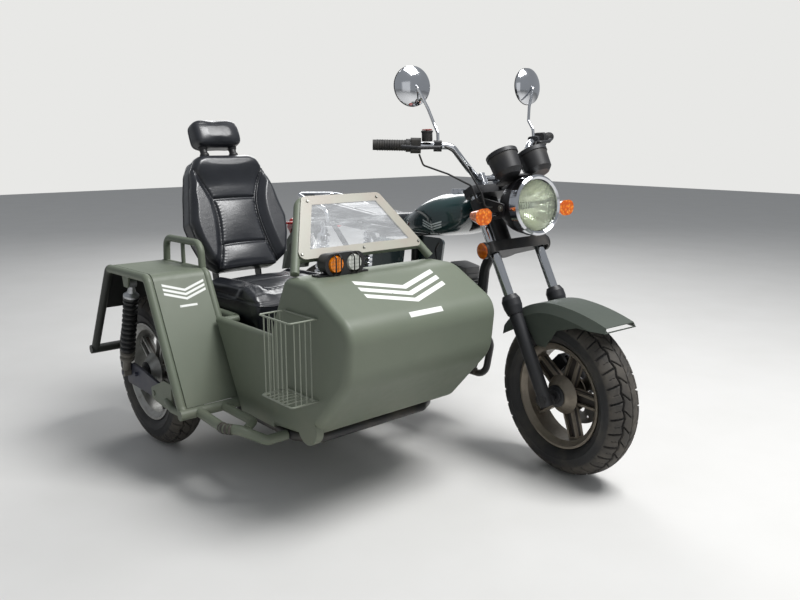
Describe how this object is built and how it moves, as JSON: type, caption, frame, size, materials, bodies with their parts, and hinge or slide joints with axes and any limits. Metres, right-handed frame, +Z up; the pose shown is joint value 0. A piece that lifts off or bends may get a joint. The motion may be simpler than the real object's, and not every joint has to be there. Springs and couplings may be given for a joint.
{
  "type": "sidecar motorcycle",
  "caption": "Light motorcycle on cast wheels with a sheet-metal sidecar at its right, with steering and wheels that turn.",
  "frame": {"origin": "on the floor under the middle of the vehicle's plan, as it stands on its wheels", "axes": "+X forward, +Y to the vehicle's left, +Z up; the sidecar is on the right, towards -Y"},
  "size_m": [1.8542, 1.4498, 1.3141],
  "materials": {
    "tyre": "matte, worn",
    "bronze_wheel": "satin bronze-grey paint",
    "silver_wheel": "satin cast alloy",
    "bright_metal": "polished",
    "steel": "machined",
    "black_metal": "satin black paint",
    "black_plastic": "matte",
    "black_rubber": "matte",
    "olive": "matte olive paint",
    "dark_teal": "gloss dark teal paint",
    "engine_alloy": "dull cast alloy",
    "black_leather": "gloss black leather",
    "clear": "clear",
    "amber": "amber lens",
    "amber_plastic": "amber plastic",
    "red_plastic": "red plastic",
    "wire": "light grey wire"
  },
  "bodies": {
    "chassis": {"main_frame": "black_metal", "engine_case": "engine_alloy", "engine_cylinder": "engine_alloy", "exhaust": "bright_metal", "fuel_tank": "dark_teal", "tank_cap": "bright_metal", "rider_seat": "black_leather", "side_covers": "dark_teal", "rear_mudguard": "olive", "tail_lamp": "red_plastic", "grab_rail": "bright_metal", "swing_arm": "black_metal", "rear_shocks": "steel", "chain_case": "black_metal", "footpegs": "black_rubber", "sidecar_chassis": "black_metal", "sidecar_struts": "black_metal", "nose_shell": "olive", "sidecar_tub": "olive", "windscreen_frame": "olive", "windscreen_pane": "clear", "lamp_pair": "black_metal", "lamp_pair_lenses": "amber", "wire_basket": "wire", "wheel_mudguard": "olive", "mudguard_rails": "olive", "side_arm": "black_metal", "side_strut": "black_rubber", "seat_box": "black_metal", "seat_cushion": "black_leather", "seat_back": "black_leather", "headrest": "black_leather"},
    "fork": {"fork_tubes": "bright_metal", "fork_legs": "black_metal", "fork_clamps": "black_metal", "fork_band": "black_metal", "handlebar": "bright_metal", "grips": "black_rubber", "levers": "black_metal", "mirrors": "bright_metal", "headlamp": "bright_metal", "headlamp_glass": "clear", "gauges": "black_plastic", "front_signals": "amber_plastic", "front_mudguard": "olive", "brake_caliper": "black_metal", "control_cables": "black_rubber"},
    "front_wheel": {"front_tyre": "tyre", "front_rim": "bronze_wheel", "brake_disc": "steel"},
    "rear_wheel": {"rear_tyre": "tyre", "rear_rim": "bronze_wheel"},
    "side_wheel": {"side_tyre": "tyre", "side_rim": "silver_wheel"}
  },
  "joints": [
    {"name": "steering", "type": "hinge", "parent": "chassis", "child": "fork", "pos_m": [0.60912, 0.29156, 0.26475], "axis": [-0.4848, 0.0381, 0.8738], "range_deg": [-29, 47]},
    {"name": "front_wheel_spin", "type": "hinge", "parent": "fork", "child": "front_wheel", "pos_m": [0.66348, 0.28404, 0.26479], "axis": [0.1368, 0.9901, 0.0327], "continuous": true},
    {"name": "rear_wheel_spin", "type": "hinge", "parent": "chassis", "child": "rear_wheel", "pos_m": [-0.636, 0.29156, 0.26475], "axis": [0, 0.999, -0.0436], "continuous": true},
    {"name": "side_wheel_spin", "type": "hinge", "parent": "chassis", "child": "side_wheel", "pos_m": [-0.446, -0.59, 0.265], "axis": [0, 1, 0], "continuous": true}
  ]
}
